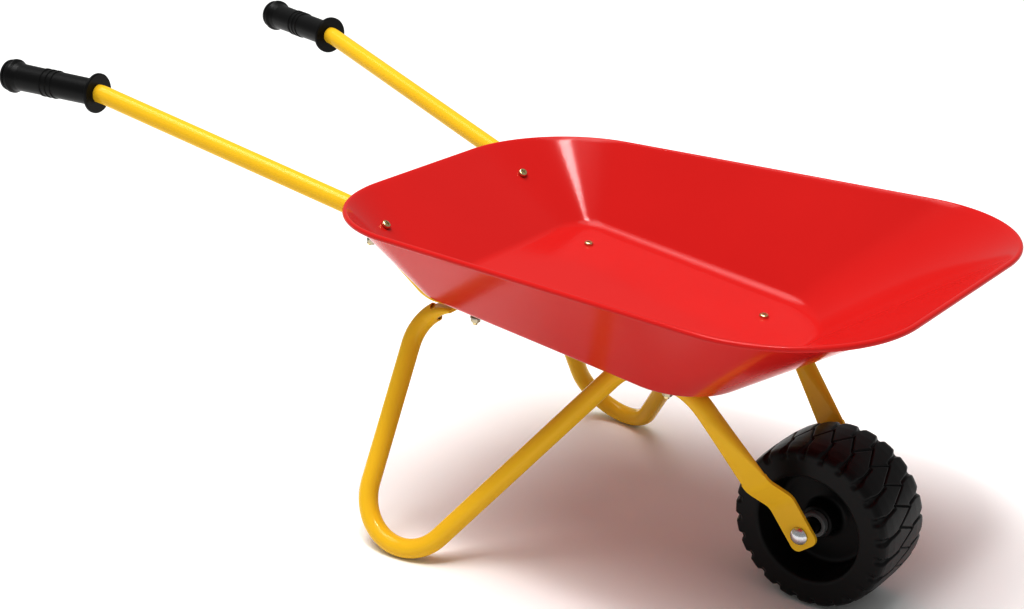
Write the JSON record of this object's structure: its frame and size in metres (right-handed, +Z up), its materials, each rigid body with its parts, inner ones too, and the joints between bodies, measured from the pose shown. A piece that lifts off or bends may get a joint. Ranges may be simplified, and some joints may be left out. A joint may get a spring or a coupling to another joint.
{
  "type": "wheelbarrow",
  "caption": "Small wheelbarrow: sloping pressed-steel tray with a rolled rim, bolted to bent tube handles and legs whose flattened ends form a fork for a wide single wheel.",
  "frame": {"origin": "on the ground, below the middle of the whole barrow", "axes": "+Z up, +Y backwards along the barrow from the wheel to the grips, +X to the left of someone who stands between the grips and looks over the tray"},
  "size_m": [0.3598, 0.836, 0.3483],
  "materials": {
    "red_paint": "gloss",
    "yellow_paint": "gloss",
    "grip_plastic": "satin",
    "wheel_plastic": "satin",
    "bush_plastic": "satin",
    "bright_steel": "satin",
    "yellow_zinc": "gloss",
    "plated_cap": "gloss"
  },
  "bodies": {
    "frame": {"tray": "red_paint", "handle_tube_left": "yellow_paint", "handle_tube_right": "yellow_paint", "leg_frame_left": "yellow_paint", "leg_frame_right": "yellow_paint", "grip_left": "grip_plastic", "grip_right": "grip_plastic", "axle": "bright_steel", "axle_spacer_left": "grip_plastic", "axle_spacer_right": "grip_plastic", "axle_cap_left": "plated_cap", "axle_cap_right": "plated_cap", "back_wall_screws": "yellow_zinc", "back_wall_washers": "bright_steel", "back_wall_nuts": "bright_steel", "rear_floor_screws": "yellow_zinc", "rear_floor_washers": "bright_steel", "rear_floor_nuts": "bright_steel", "front_floor_screws": "yellow_zinc", "front_floor_washers": "bright_steel", "front_floor_nuts": "bright_steel"},
    "wheel": {"wheel": "wheel_plastic", "wheel_bush_left": "bush_plastic", "wheel_bush_right": "bush_plastic"}
  },
  "joints": [
    {"name": "wheel_spin", "type": "hinge", "parent": "frame", "child": "wheel", "pos_m": [0, -0.3228, 0.065], "axis": [1, 0, 0], "continuous": true}
  ]
}
